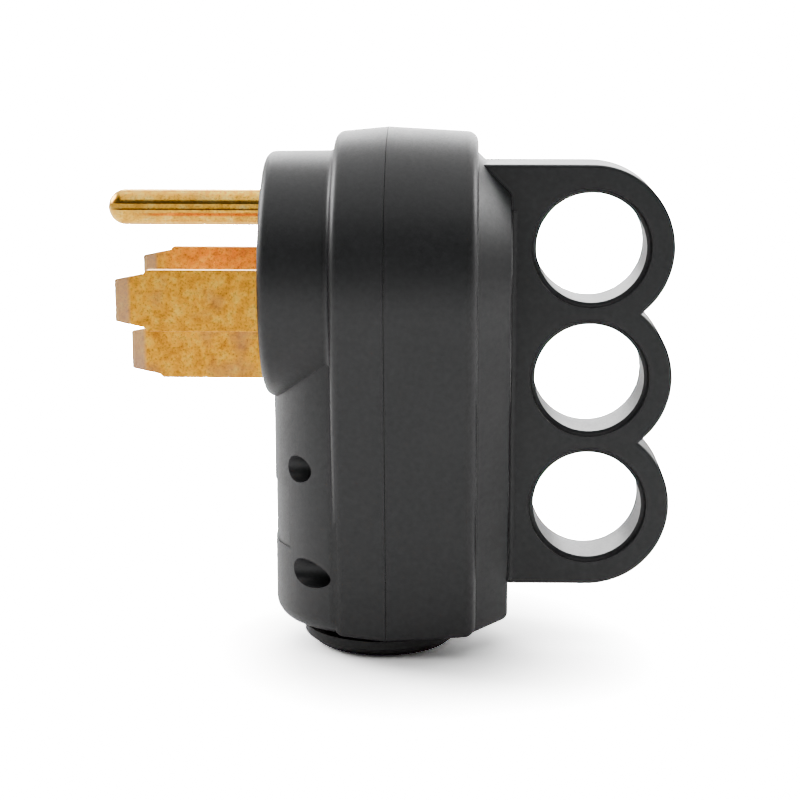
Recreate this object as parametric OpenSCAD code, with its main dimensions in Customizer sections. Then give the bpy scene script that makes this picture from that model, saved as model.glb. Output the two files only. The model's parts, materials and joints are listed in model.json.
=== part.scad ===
// Four-prong 50 ampere caravan plug with a three-ring pull handle.
// Frame: origin at the centre of the round mating face, +X into the plug towards the handle,
// +Y away from the near side, +Z up. The cord leaves downwards. Millimetres.

/* [Body] */
// Radius of the round top of the body at the parting seam
body_r = 29.2; // [28.8:0.1:30.5]
// Lean of each side below the round top, in degrees
side_lean = 10; // [9:0.5:11]
// Depth of the flat underside below the mating face's centre
body_depth = 71; // [70.5:0.1:72]
// Thickness of the moulded walls
wall = 3; // [2.6:0.1:3.2]
// Where the thick block starts, behind the mating face
block_x = 13.8; // [13.3:0.1:14.2]
// Where the two housings part
seam_x = 24.1; // [23.8:0.1:24.6]
// Where the thick block ends
block_end_x = 41.8; // [41:0.1:43]
// Where the raised back ends and the handle starts
back_x = 48.3; // [47.8:0.1:49]

/* [Mating face] */
// Radius of the round front boss
boss_r = 24.5; // [24.2:0.1:25]
// Rounding of the boss's front rim
rim_r = 2; // [1:0.1:2.5]
// Thickness of the front wall that the prongs pass through
front_wall = 4; // [3.8:0.1:4]

/* [Prongs] */
// Distance of each hot blade from the middle plane
hot_y = 17.7; // [17.4:0.1:17.8]
// Height of the hot blades' centre line
hot_z = -2.7; // [-2.9:0.1:-2.5]
// Width of the hot blades
hot_width = 11.8; // [11.5:0.1:12]
// Length of the hot blades outside the face
hot_length = 27.6; // [25:0.1:29]
// Height of the neutral blade's centre line
neutral_z = -15.4; // [-15.5:0.1:-15.2]
// Width of the neutral blade
neutral_width = 11.2; // [10.8:0.1:11.4]
// Length of the neutral blade outside the face
neutral_length = 27.5; // [25:0.1:29]
// Thickness of the blade strip
blade_t = 1.9; // [1.6:0.1:2]
// Height of the ground pin's axis
pin_z = 13.3; // [13.1:0.1:13.5]
// Radius of the ground pin
pin_r = 3.57; // [3.5:0.01:3.6]
// Length of the ground pin outside the face
pin_length = 31.5; // [29:0.1:33]

/* [Lower barrel and cord entry] */
// Radius of the upright half-round front below the boss
barrel_r = 22.2; // [22:0.1:22.4]
// Where the barrel's upright axis stands
barrel_x = 23.3; // [23.1:0.1:23.5]
// Where the cord's axis stands
cord_x = 22.9; // [22.7:0.1:23.3]
// Radius of the hole through the cord gland
cord_r = 11; // [10:0.1:11.1]
// Depth of the gland's underside below the mating face's centre
gland_depth = 74.9; // [74.5:0.1:76]

/* [Handle] */
// Thickness of the handle plate
handle_t = 14; // [12:0.5:15]
// Radius of the finger holes
finger_r = 10.73; // [9.5:0.01:11]
// Outer radius of the finger rings
ring_r = 16.3; // [15.5:0.1:17]
// Distance from one finger hole to the next
ring_pitch = 25.77; // [25:0.01:27]
// Height of the top finger hole's centre
ring_top_z = 6.16; // [5:0.01:8]
// Where the finger holes' centres stand
ring_x = 63.95; // [63:0.01:66]

/* [Screws] */
// Distance of the upper housing screws from the middle plane
upper_y = 14.8; // [14.6:0.1:15.2]
// Height of the upper housing screws
upper_z = -36.4; // [-36.6:0.1:-36]
// Distance of the lower housing screws from the middle plane
lower_y = 15.4; // [15.2:0.1:15.5]
// Height of the lower housing screws
lower_z = -57.4; // [-58:0.1:-57]
// Height of the cord clamp
clamp_z = -47; // [-47.4:0.1:-46.8]

/* [Hidden] */
$fn = 96;

gap = 0.3;                                   // air between pieces that move past each other
snug = 0.06;                                 // radial air of a screw in its thread
seam_half = 0.05;                            // half of the air in the parting seam
seat_air = 0.02;                             // air under a screw's head or a washer
past = 1;                                    // how far a cutting shape runs past a face
slot_depth_part = 0.45;                      // depth of a screw's cross slot, part of its head's height
slot_width_part = 0.36;                      // width of a screw's cross slot, part of its head's radius
head_wall = 1.15;                            // plastic around a housing screw's head
insert_cover = 1.2;                          // how far a cover pillar stands past the head hole

boss_room_r = boss_r - wall;                 // radius of the chamber in the boss
barrel_top_z = -10;                          // the barrel's top, buried in the boss
barrel_edge = 4.5;                           // rounding of the barrel's lower edge
barrel_inset = 1;                            // how far the barrel lies inside the block's sides
block_room_x = block_x + wall;               // where the block's own chamber starts
back_room_x = back_x - wall;                 // where the chamber in the raised back ends
lip_depth = 1.8;                             // how far the cover's lip reaches past the seam
lip_t = 1.3;                                 // thickness of the cover's lip

back_foot_r = body_r - 5;                    // round top of the raised back at its foot
back_top_r = body_r - 11.2;                  // round top of the raised back at its rear
back_room_r = body_r - 11.9;                 // round top of the chamber in the raised back
back_foot_rise = 0.3;                        // the raised back's foot above the underside
back_top_rise = 2;                           // the same at the raised back's rear

slot_air = 0.25;                             // air around a prong in the front wall
tip_length = 5.5;                            // length of a blade's narrower tip
tip_shoulder = 0.75;                         // step at each side where the tip starts
tip_taper = 1.1;                             // further narrowing of each side at the very tip
step_length = 0.8;                           // length of that step along the blade
flange_x = front_wall + 0.1;                 // where the contacts' shoulders start
flange_t = 2.8;                              // length of the shoulders
flange_extra = 2.1;                          // how far a shoulder stands past its blade
tail_half = 5.5;                             // half width of a contact's tail
pad_x = 16;                                  // where the terminal pads start
pad_t = 2;                                   // thickness of a terminal pad
pad_w = 12;                                  // width of a terminal pad
neutral_shoulder_low = 5.8;                  // the neutral's lower shoulder below its centre line
neutral_pad_z = -17.5;                       // centre of the neutral pad
pin_neck_x = -0.3;                           // where the ground pin's neck starts, outside the face
pin_neck_r = pin_r - 0.6;                    // radius of the ground pin where it passes the front wall
pin_flange_r = 7.5;                          // radius of the ground pin's shoulder
strip_z = 8;                                 // underside of the ground pin's tail
strip_half = 3.5;                            // half width of the ground pin's tail

term_y = hot_y - pad_w / 2 + blade_t / 2;    // hot terminal screws from the middle plane
neutral_term_y = pad_w / 2 - blade_t / 2;    // neutral terminal screw from the middle plane
ground_term_z = strip_z + pad_w / 2;         // height of the ground terminal screw
term_r = 2.4;                                // radius of a terminal screw's thread
term_head_r = 4.2;                           // radius of a terminal screw's head
term_head_t = 3;                             // height of a terminal screw's head
term_tip_x = 10;                             // where a terminal screw ends
plate_t = 1.6;                               // thickness of a terminal clamp plate
plate_x = pad_x + pad_t + gap;               // where the clamp plates start
plate_y = 10.4;                              // clamp plate's width
plate_z = 9;                                 // clamp plate's height
plate_corner = 1.6;                          // cut across a clamp plate's corners

retainer_x = flange_x + flange_t + 0.3;      // where the retainer starts
retainer_t = 6.2;                            // thickness of the retainer
retainer_r = boss_room_r - 0.4;              // radius of the retainer
post_r = 3;                                  // radius of the posts that the retainer sits on
post_air = 0.1;                              // air between the posts and the retainer
post_hole_r = 1.5;                           // radius of the hole in a post
post_hole_x = 2.4;                           // where the hole in a post ends
post_places = [[12.5, 12.5], [-12.5, 12.5], [-9.5, -15.5]];
retainer_hole_r = 1.6;                       // radius of a screw's hole in the retainer
retainer_screw_r = 1.4;                      // radius of a retainer screw's thread
retainer_head_r = 2.6;                       // radius of a retainer screw's head
retainer_head_t = 1.8;                       // height of a retainer screw's head
retainer_tip_x = 2.8;                        // where a retainer screw ends

strap_y = 14.4;                              // strap screws from the middle plane
strap_screw_r = 2;                           // radius of a strap screw's thread
strap_head_r = 2.5;                          // radius of a strap screw's head
strap_head_t = 2.4;                          // height of a strap screw's head
strap_tip_x = 15.6;                          // where a strap screw ends
strap_hole_x = 11.6;                         // where a strap screw's hole in the saddle ends
strap_t = 1.6;                               // thickness of the strap
strap_h = 9.4;                               // height of the strap and the saddle
strap_half_y = 17;                           // half length of the strap
ear_x = cord_x + 4.6;                        // front face of the strap's ears
saddle_end_x = 19.5;                         // where the saddle's horns end

gland_flange_r = 16;                         // the gland's widest radius
gland_foot_r = 13.67;                        // radius of the gland's flat underside
gland_neck_r = 12.8;                         // radius of the gland's neck in the housing
gland_inner_r = 14.8;                        // radius of the gland's inner flange
gland_flat_r = body_r - wall - barrel_inset - gap;  // round top of the outline its flats follow
gland_inner_h = 2.5;                         // thickness of the gland's inner flange
gland_skirt = 1.9;                           // height of the gland's sloping lower edge

// Housing screws: [distance from middle, height, hole radius, head radius, thread radius,
// where the washer is seated, radius of the hole's mouth]
UPPER = [upper_y, upper_z, 2.65, 2.4, 1.7, 16.2, 2.65];
LOWER = [lower_y, lower_z, 2.4, 2.2, 1.5, 17.2, 3];
mouth_end_x = 11.5;                          // where a screw hole's wider mouth ends
housing_head_t = 2.4;                        // height of a housing screw's head
washer_t = 0.7;                              // thickness of a lock washer
washer_extra = 0.1;                          // how far a washer stands past its screw's head
insert_t = 8;                                // length of a threaded insert
insert_wall = 1;                             // wall of a threaded insert
insert_air = 0.05;                           // air around a threaded insert
screw_tip_x = 35;                            // where the housing screws end
tip_room = 1.5;                              // air past a housing screw's tip
pillar_end_x = 40;                           // where the cover's pillars meet its back wall
pillar_inset = 0.5;                          // how far the pillars stay inside the cover's sides

// ---- helpers ----

// Round rod along X
module rod_x(r, x0, x1, y = 0, z = 0) {
  translate([x0, y, z]) rotate([0, 90, 0]) cylinder(r = r, h = x1 - x0);
}

// Round rod along Z
module rod_z(r, z0, z1, x = 0, y = 0) {
  translate([x, y, z0]) cylinder(r = r, h = z1 - z0);
}

// Box between two corners
module box(low, high) {
  translate(low) cube(high - low);
}

// A flat outline in Y and Z, given thickness along X
module along_x(x0, x1) {
  translate([x0, 0, 0]) rotate([90, 0, 90]) linear_extrude(height = x1 - x0) children();
}

// A flat outline in X and Z, given thickness along Y, centred on y
module across_y(y, t) {
  translate([0, y + t / 2, 0]) rotate([90, 0, 0]) linear_extrude(height = t) children();
}

// The body seen from the front: a round top with leaning sides and a flat foot
module body_outline(r, depth) {
  foot = r / cos(side_lean) - depth * tan(side_lean);
  union() {
    circle(r = r);
    polygon([
      [r * cos(side_lean), -r * sin(side_lean)],
      [foot, -depth],
      [-foot, -depth],
      [-r * cos(side_lean), -r * sin(side_lean)]
    ]);
  }
}

// The body's outline taken in by a distance, between two places along X
module body_slab(inset, x0, x1) {
  along_x(x0, x1) body_outline(body_r - inset, body_depth - inset);
}

// The same shape at both sides of the middle plane
module both_sides() {
  children();
  mirror([0, 1, 0]) children();
}

// A pan-head screw along X: side = 1 has its head towards +X, side = -1 towards -X
module pan_screw(seat_x, tip_x, side, head_r, head_t, thread_r, y, z) {
  head_low = min(seat_x, seat_x + side * head_t);
  head_top = seat_x + side * head_t;
  slot_depth = slot_depth_part * head_t;
  slot_w = slot_width_part * head_r;
  difference() {
    union() {
      rod_x(head_r, head_low, head_low + head_t, y, z);
      rod_x(thread_r, min(seat_x, tip_x), max(seat_x, tip_x), y, z);
    }
    box(
      [head_top - slot_depth, y - slot_w / 2, z - head_r - past],
      [head_top + slot_depth, y + slot_w / 2, z + head_r + past]
    );
    box(
      [head_top - slot_depth, y - head_r - past, z - slot_w / 2],
      [head_top + slot_depth, y + head_r + past, z + slot_w / 2]
    );
  }
}

// ---- housings ----

// The round boss with its rounded front rim
module boss() {
  rotate([0, 90, 0]) rotate_extrude() {
    union() {
      square([boss_r - rim_r, block_x + past]);
      translate([0, rim_r]) square([boss_r, block_x + past - rim_r]);
      translate([boss_r - rim_r, rim_r]) circle(r = rim_r);
    }
  }
}

// The upright half-round front below the boss, or its chamber when taken in
module barrel(inset) {
  r = barrel_r - inset;
  edge = barrel_edge - inset;
  foot_z = -body_depth + inset;
  intersection() {
    translate([barrel_x, 0, 0]) rotate_extrude() {
      union() {
        translate([0, foot_z]) square([r - edge, barrel_top_z - foot_z]);
        translate([0, foot_z + edge]) square([r, barrel_top_z - foot_z - edge]);
        translate([r - edge, foot_z + edge]) circle(r = edge);
      }
    }
    along_x(0, seam_x) body_outline(body_r - inset - barrel_inset, body_depth + past);
  }
}

// Everything outside the front housing's surface is air
module front_outside() {
  union() {
    boss();
    barrel(0);
    body_slab(0, block_x, seam_x - seam_half);
  }
}

// The front housing's chamber
module front_room() {
  union() {
    rod_x(boss_room_r, front_wall, block_room_x + past);
    barrel(wall);
    body_slab(wall, block_room_x, seam_x + past);
    body_slab(wall - lip_t - gap, seam_x - lip_depth - gap, seam_x + past);
  }
}

// A housing screw's column of plastic, its head hole and the hole for its thread
module front_pillar(s) {
  intersection() {
    front_outside();
    rod_x(s[2] + head_wall, block_x - wall - past, seam_x - seam_half, s[0], s[1]);
  }
}

module front_screw_hole(s) {
  rod_x(s[6], -past, mouth_end_x, s[0], s[1]);
  rod_x(s[2], mouth_end_x - past, s[5], s[0], s[1]);
  rod_x(s[4] + gap, s[5] - past, seam_x + past, s[0], s[1]);
}

module front_housing() {
  color("#3a3b3e") difference() {
    union() {
      difference() {
        front_outside();
        front_room();
      }
      both_sides() front_pillar(UPPER);
      both_sides() front_pillar(LOWER);
      for (p = post_places) rod_x(post_r, front_wall - past, retainer_x - post_air, p[0], p[1]);
    }
    both_sides() front_screw_hole(UPPER);
    both_sides() front_screw_hole(LOWER);
    both_sides() blade_slot(hot_y, hot_z, hot_width);
    blade_slot(0, neutral_z, neutral_width);
    rod_x(pin_r + slot_air, -past, front_wall + past, 0, pin_z);
    for (p = post_places) rod_x(post_hole_r, post_hole_x, retainer_x + past, p[0], p[1]);
    rod_z(gland_neck_r + gap, -body_depth - past, -body_depth + wall + past, cord_x);
  }
}

// A slot in the front wall for one blade
module blade_slot(y, z, width) {
  half_w = width / 2 + slot_air;
  half_t = blade_t / 2 + slot_air;
  box([-past, y - half_t, z - half_w], [front_wall + past, y + half_t, z + half_w]);
}

// The raised back between the block and the handle
module raised_back() {
  hull() {
    along_x(block_end_x - past, block_end_x) body_outline(back_foot_r, body_depth - back_foot_rise, $fn = 32);
    along_x(back_x - 0.01, back_x) body_outline(back_top_r, body_depth - back_top_rise, $fn = 32);
  }
}

// Everything outside the cover's surface, the handle aside, is air
module cover_outside() {
  body_slab(0, seam_x + seam_half, block_end_x);
  raised_back();
}

// The part of the cover's moulding that stands out of its back: three rings in a row on a plate
module pull_handle() {
  low_z = ring_top_z - 2 * ring_pitch - ring_r;
  high_z = ring_top_z + ring_r;
  color("#3a3b3e") difference() {
    across_y(0, handle_t) difference() {
      union() {
        for (i = [0 : 2]) translate([ring_x, ring_top_z - i * ring_pitch]) circle(r = ring_r);
        translate([block_end_x - past, low_z]) square([ring_x - block_end_x + past, high_z - low_z]);
      }
      for (i = [0 : 2]) translate([ring_x, ring_top_z - i * ring_pitch]) circle(r = finger_r);
    }
    cover_outside();
  }
}

// The cover's column behind a housing screw
module cover_pillar(s) {
  intersection() {
    rod_x(s[2] + insert_cover, seam_x + seam_half, pillar_end_x, s[0], s[1]);
    body_slab(pillar_inset, seam_x, block_end_x);
  }
}

module cover_screw_hole(s) {
  rod_x(s[4] + insert_wall + insert_air, seam_x - past, seam_x + insert_t + gap, s[0], s[1]);
  rod_x(s[4] + gap, seam_x, screw_tip_x + tip_room, s[0], s[1]);
}

// The cover's lip, which stands in the front housing's rebate
module cover_lip() {
  difference() {
    body_slab(wall - lip_t, seam_x - lip_depth, seam_x + past);
    body_slab(wall, seam_x - lip_depth - past, seam_x + 2 * past);
    both_sides() lip_notch(UPPER);
    both_sides() lip_notch(LOWER);
  }
}

// Room in the lip for the front housing's pillar
module lip_notch(s) {
  rod_x(s[2] + head_wall + gap, seam_x - lip_depth - past, seam_x + seam_half, s[0], s[1]);
}

module rear_cover() {
  color("#3a3b3e") difference() {
    union() {
      difference() {
        cover_outside();
        body_slab(wall, seam_x - past, block_end_x - wall);
        along_x(block_end_x - wall - past, back_room_x)
          body_outline(back_room_r, body_depth - (body_r - back_room_r));
      }
      cover_lip();
      both_sides() cover_pillar(UPPER);
      both_sides() cover_pillar(LOWER);
    }
    both_sides() cover_screw_hole(UPPER);
    both_sides() cover_screw_hole(LOWER);
    rod_z(gland_neck_r + gap, -body_depth - past, -body_depth + wall + past, cord_x);
  }
}

// Rubber ring around the cord, with the housing's floor in its groove and flats on its inner flange
module cord_gland() {
  flange_z = -body_depth + wall + gap;
  top_z = flange_z + gland_inner_h;
  low_side = gland_flat_r / cos(side_lean) + (flange_z - past) * tan(side_lean);
  high_side = gland_flat_r / cos(side_lean) + (top_z + past) * tan(side_lean);
  color("#1c1c1d") difference() {
    translate([cord_x, 0, 0]) rotate_extrude() {
      polygon([
        [cord_r, -gland_depth],
        [gland_foot_r, -gland_depth],
        [gland_flange_r, -gland_depth + gland_skirt],
        [gland_flange_r, -body_depth - gap],
        [gland_neck_r, -body_depth - gap],
        [gland_neck_r, flange_z],
        [gland_inner_r, flange_z],
        [gland_inner_r, top_z],
        [cord_r, top_z]
      ]);
    }
    both_sides() along_x(0, block_end_x) polygon([
      [low_side, flange_z - past],
      [gland_flange_r, flange_z - past],
      [gland_flange_r, top_z + past],
      [high_side, top_z + past]
    ]);
  }
}

// ---- contacts ----

// A blade seen from the side, with its narrow tip, its shoulders and its tail
module blade_outline(z, width, length, shoulder_low, shoulder_high) {
  half = width / 2;
  tip_half = half - tip_shoulder;
  flange_end = flange_x + flange_t;
  polygon([
    [-length, z - tip_half + tip_taper],
    [-length + tip_length, z - tip_half],
    [-length + tip_length + step_length, z - half],
    [flange_x, z - half],
    [flange_x, z - shoulder_low],
    [flange_end, z - shoulder_low],
    [flange_end, z - tail_half],
    [pad_x + pad_t, z - tail_half],
    [pad_x + pad_t, z + tail_half],
    [flange_end, z + tail_half],
    [flange_end, z + shoulder_high],
    [flange_x, z + shoulder_high],
    [flange_x, z + half],
    [-length + tip_length + step_length, z + half],
    [-length + tip_length, z + tip_half],
    [-length, z + tip_half - tip_taper]
  ]);
}

// The far hot blade, with its terminal pad folded towards the middle
module hot_blade() {
  shoulder = hot_width / 2 + flange_extra;
  color("#c9973f") difference() {
    union() {
      across_y(hot_y, blade_t) blade_outline(hot_z, hot_width, hot_length, shoulder, shoulder);
      box(
        [pad_x, hot_y + blade_t / 2 - pad_w, hot_z - tail_half],
        [pad_x + pad_t, hot_y, hot_z + tail_half]
      );
    }
    rod_x(term_r + snug, pad_x - past, pad_x + pad_t + past, term_y, hot_z);
  }
}

module hot_blade_far() {
  hot_blade();
}

module hot_blade_near() {
  mirror([0, 1, 0]) hot_blade();
}

module neutral_blade() {
  shoulder_high = neutral_width / 2 + flange_extra;
  color("#c9973f") difference() {
    union() {
      across_y(0, blade_t)
        blade_outline(neutral_z, neutral_width, neutral_length, neutral_shoulder_low, shoulder_high);
      box(
        [pad_x, -blade_t / 2, neutral_pad_z - tail_half],
        [pad_x + pad_t, pad_w - blade_t / 2, neutral_pad_z + tail_half]
      );
    }
    rod_x(term_r + snug, pad_x - past, pad_x + pad_t + past, neutral_term_y, neutral_pad_z);
  }
}

module ground_pin() {
  color("#c9973f") difference() {
    union() {
      translate([-pin_length + pin_r, 0, pin_z]) sphere(r = pin_r);
      rod_x(pin_r, -pin_length + pin_r, pin_neck_x, 0, pin_z);
      rod_x(pin_neck_r, pin_neck_x - past, flange_x + past, 0, pin_z);
      rod_x(pin_flange_r, flange_x, flange_x + flange_t, 0, pin_z);
      box([flange_x + past, -strip_half, strip_z], [pad_x + pad_t, strip_half, strip_z + pad_t]);
      box([pad_x, -pad_w / 2, strip_z], [pad_x + pad_t, pad_w / 2, strip_z + pad_w]);
    }
    rod_x(term_r + snug, pad_x - past, pad_x + pad_t + past, 0, ground_term_z);
  }
}

// Moulded plate that holds the contacts' shoulders against the front wall
module contact_retainer() {
  x0 = retainer_x - past;
  x1 = retainer_x + retainer_t + past;
  hot_in = hot_y + blade_t / 2 - pad_w - gap;
  hot_out = hot_y + blade_t / 2 + gap;
  window = tail_half + gap;
  color("#d8cfb8") difference() {
    rod_x(retainer_r, retainer_x, retainer_x + retainer_t);
    both_sides() box([x0, hot_in, hot_z - window], [x1, hot_out, hot_z + window]);
    box(
      [x0, -blade_t / 2 - gap, -retainer_r - past],
      [x1, pad_w - blade_t / 2 + gap, neutral_z + neutral_width / 2 + gap]
    );
    box([x0, -pad_w / 2 - gap, strip_z - gap], [x1, pad_w / 2 + gap, strip_z + pad_w + gap]);
    for (p = post_places) rod_x(retainer_hole_r, x0, x1, p[0], p[1]);
  }
}

module retainer_screws() {
  seat_x = retainer_x + retainer_t + seat_air;
  color("#b9bcc0") for (p = post_places) pan_screw(
    seat_x, retainer_tip_x, 1, retainer_head_r, retainer_head_t, retainer_screw_r, p[0], p[1]
  );
}

// ---- terminals ----

// Brass plate that presses a bared conductor onto its pad
module clamp_plate(y, z) {
  cut = plate_corner;
  half_y = plate_y / 2;
  half_z = plate_z / 2;
  color("#b98a3c") difference() {
    along_x(plate_x, plate_x + plate_t) translate([y, z]) polygon([
      [-half_y + cut, -half_z], [half_y - cut, -half_z],
      [half_y, -half_z + cut], [half_y, half_z - cut],
      [half_y - cut, half_z], [-half_y + cut, half_z],
      [-half_y, half_z - cut], [-half_y, -half_z + cut]
    ]);
    rod_x(term_r + snug, plate_x - past, plate_x + plate_t + past, y, z);
  }
}

module near_hot_clamp() {
  clamp_plate(-term_y, hot_z);
}

module far_hot_clamp() {
  clamp_plate(term_y, hot_z);
}

module neutral_clamp() {
  clamp_plate(neutral_term_y, neutral_pad_z);
}

module ground_clamp() {
  clamp_plate(0, ground_term_z);
}

module terminal_screw(y, z) {
  pan_screw(plate_x + plate_t + seat_air, term_tip_x, 1, term_head_r, term_head_t, term_r, y, z);
}

module near_hot_screw() {
  color("#c9a24e") terminal_screw(-term_y, hot_z);
}

module far_hot_screw() {
  color("#c9a24e") terminal_screw(term_y, hot_z);
}

module neutral_screw() {
  color("#d5d7da") terminal_screw(neutral_term_y, neutral_pad_z);
}

module ground_screw() {
  color("#4d9a57") terminal_screw(0, ground_term_z);
}

// ---- cord clamp ----

// Moulded half-round seat in the barrel, behind which the strap draws the cord
module cord_saddle() {
  color("#55585c") difference() {
    intersection() {
      barrel(wall + gap);
      box([0, -body_r, clamp_z - strap_h / 2], [saddle_end_x, body_r, clamp_z + strap_h / 2]);
    }
    rod_z(cord_r + gap, clamp_z - strap_h, clamp_z + strap_h, cord_x);
    both_sides() rod_x(strap_screw_r + snug, strap_hole_x, saddle_end_x + past, strap_y, clamp_z);
  }
}

module cord_strap() {
  low = clamp_z - strap_h / 2;
  high = clamp_z + strap_h / 2;
  bend_r = cord_r + gap;
  color("#a7abb0") difference() {
    union() {
      intersection() {
        rod_z(bend_r + strap_t, low, high, cord_x);
        box([ear_x, -body_r, low - past], [back_room_x, body_r, high + past]);
      }
      box([ear_x, -strap_half_y, low], [ear_x + strap_t, strap_half_y, high]);
    }
    rod_z(bend_r, low - past, high + past, cord_x);
    both_sides() rod_x(strap_screw_r + snug, ear_x - past, ear_x + strap_t + past, strap_y, clamp_z);
  }
}

module strap_screw(side) {
  seat_x = ear_x + strap_t + seat_air;
  color("#b9bcc0")
    pan_screw(seat_x, strap_tip_x, 1, strap_head_r, strap_head_t, strap_screw_r, side * strap_y, clamp_z);
}

module strap_screw_near() {
  strap_screw(-1);
}

module strap_screw_far() {
  strap_screw(1);
}

// ---- housing screws ----

module housing_screw(s, side) {
  seat_x = s[5] - washer_t - 2 * seat_air;
  color("#8d9095")
    pan_screw(seat_x, screw_tip_x, -1, s[3], housing_head_t, s[4], side * s[0], s[1]);
}

module upper_screw_near() {
  housing_screw(UPPER, -1);
}

module upper_screw_far() {
  housing_screw(UPPER, 1);
}

module lower_screw_near() {
  housing_screw(LOWER, -1);
}

module lower_screw_far() {
  housing_screw(LOWER, 1);
}

module lock_washer(s, side) {
  color("#9a9da1") difference() {
    rod_x(s[3] + washer_extra, s[5] - washer_t - seat_air, s[5] - seat_air, side * s[0], s[1]);
    rod_x(s[4] + snug, s[5] - washer_t - past, s[5] + past, side * s[0], s[1]);
  }
}

module upper_washer_near() {
  lock_washer(UPPER, -1);
}

module upper_washer_far() {
  lock_washer(UPPER, 1);
}

module lower_washer_near() {
  lock_washer(LOWER, -1);
}

module lower_washer_far() {
  lock_washer(LOWER, 1);
}

// Brass inserts in the cover's pillars
module insert(s) {
  difference() {
    rod_x(s[4] + insert_wall, seam_x + gap, seam_x + insert_t, s[0], s[1]);
    rod_x(s[4] + snug, seam_x - past, seam_x + insert_t + past, s[0], s[1]);
  }
}

module threaded_inserts() {
  color("#c9a24e") {
    both_sides() insert(UPPER);
    both_sides() insert(LOWER);
  }
}

front_housing();
rear_cover();
pull_handle();
cord_gland();
hot_blade_near();
hot_blade_far();
neutral_blade();
ground_pin();
contact_retainer();
retainer_screws();
near_hot_clamp();
far_hot_clamp();
neutral_clamp();
ground_clamp();
near_hot_screw();
far_hot_screw();
neutral_screw();
ground_screw();
cord_saddle();
cord_strap();
strap_screw_near();
strap_screw_far();
upper_screw_near();
upper_screw_far();
lower_screw_near();
lower_screw_far();
upper_washer_near();
upper_washer_far();
lower_washer_near();
lower_washer_far();
threaded_inserts();
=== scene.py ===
# %% [markdown]
# # A four-prong caravan plug with a ringed pull handle
#
# The object is a right-angle power plug. Its black housing is moulded in two halves, four brass
# contacts stand out of a round face, and three finger rings on the back pull it out of a socket.
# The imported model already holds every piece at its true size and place, so this lesson only makes
# the looks. Each cell first says what a piece is on the real plug, then how it is modelled.

# %% Load the frame
import json
import math

import bpy
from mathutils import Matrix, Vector


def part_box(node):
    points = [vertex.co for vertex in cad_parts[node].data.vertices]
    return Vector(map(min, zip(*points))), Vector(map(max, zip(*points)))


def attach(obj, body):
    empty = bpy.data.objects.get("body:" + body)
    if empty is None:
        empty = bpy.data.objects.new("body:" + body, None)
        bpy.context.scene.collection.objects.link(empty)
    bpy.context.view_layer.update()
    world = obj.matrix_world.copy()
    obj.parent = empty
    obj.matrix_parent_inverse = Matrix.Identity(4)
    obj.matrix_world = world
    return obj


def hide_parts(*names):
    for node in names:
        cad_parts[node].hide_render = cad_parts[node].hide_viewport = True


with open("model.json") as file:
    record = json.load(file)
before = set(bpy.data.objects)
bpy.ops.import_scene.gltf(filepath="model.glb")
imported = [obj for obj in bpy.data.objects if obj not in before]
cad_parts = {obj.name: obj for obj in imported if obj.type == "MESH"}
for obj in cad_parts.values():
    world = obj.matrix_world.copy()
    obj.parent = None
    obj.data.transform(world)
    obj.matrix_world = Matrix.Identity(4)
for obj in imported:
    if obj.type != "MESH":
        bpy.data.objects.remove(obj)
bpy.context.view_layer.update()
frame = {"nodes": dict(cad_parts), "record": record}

# %% [markdown]
# ## Sizes
#
# Blender works in metres and a plug is drawn in millimetres, so one constant turns one into the
# other. What the frame can tell is read from the boxes of its nodes. The rest is the plug's own
# drawing: radii, roundings and the slight slope, called draft, that lets a moulding leave its mould.

# %% Sizes read from the frame
MM = 0.001
front_low, front_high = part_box("front_housing")
gland_low, gland_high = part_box("cord_gland")
hot_low, hot_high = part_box("hot_blade_far")
neutral_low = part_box("neutral_blade")[0]
pin_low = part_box("ground_pin")[0]

BODY_R = front_high.y
BODY_FOOT = front_low.z
SEAM_X = front_high.x
CORD_X = (gland_low.x + gland_high.x) / 2
print("body radius", round(BODY_R / MM, 2), "mm, parting seam at", round(SEAM_X / MM, 2), "mm")

# %% Sizes from the drawing
LEAN = math.radians(10)
BLOCK_X = 13.8 * MM
BLOCK_END = 41.8 * MM
BACK_X = 48.3 * MM
WALL = 3 * MM
BOSS_R = 24.5 * MM
BARREL_R = 22.2 * MM
BARREL_X = 23.3 * MM
FRONT_WALL = 4 * MM
HANDLE_T = 14 * MM
FINGER_R = 10.73 * MM
RING_R = 16.3 * MM
RING_X = 63.95 * MM
RING_PITCH = 25.77 * MM
RING_TOP = 6.16 * MM
BLADE_T = 1.9 * MM
BLADE_HALF = 0.95 * MM
PIN_Z = 13.3 * MM
PIN_R = 3.57 * MM
GLAND_NECK = 12.8 * MM
GLAND_AIR = 0.3 * MM
print("the block runs from", round(BLOCK_X / MM, 1), "to", round(BLOCK_END / MM, 1), "mm")

# %% [markdown]
# Two more lengths belong to the modelling, not to the plug. A cutting tool reaches a little past the
# face it cuts, and points that lie closer together than a hair are one point.

# %% Sizes of the modelling
PAST = 1 * MM
HAIR = 0.001 * MM
AROUND = 128
print("a full circle has", AROUND, "points")

# %% [markdown]
# ## Hand tools
#
# Everything is shaped the way it is done by hand: add a primitive, go into edit mode, pick faces
# or edges, and extrude, inset or bevel them. With no window the picking is done by place, so a
# few small helpers select what passes a test and nothing else.

# %% Helpers for picking
def take_up(piece):
    """Make this piece the only selected and active one."""
    if bpy.context.object and bpy.context.object.mode != "OBJECT":
        bpy.ops.object.mode_set(mode="OBJECT")
    bpy.ops.object.select_all(action="DESELECT")
    piece.select_set(True)
    bpy.context.view_layer.objects.active = piece


def middle_of(mesh, item):
    """The middle of a vertex, an edge or a face."""
    if hasattr(item, "co"):
        return item.co
    total = Vector((0, 0, 0))
    for index in item.vertices:
        total += mesh.vertices[index].co
    return total / len(item.vertices)


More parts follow.
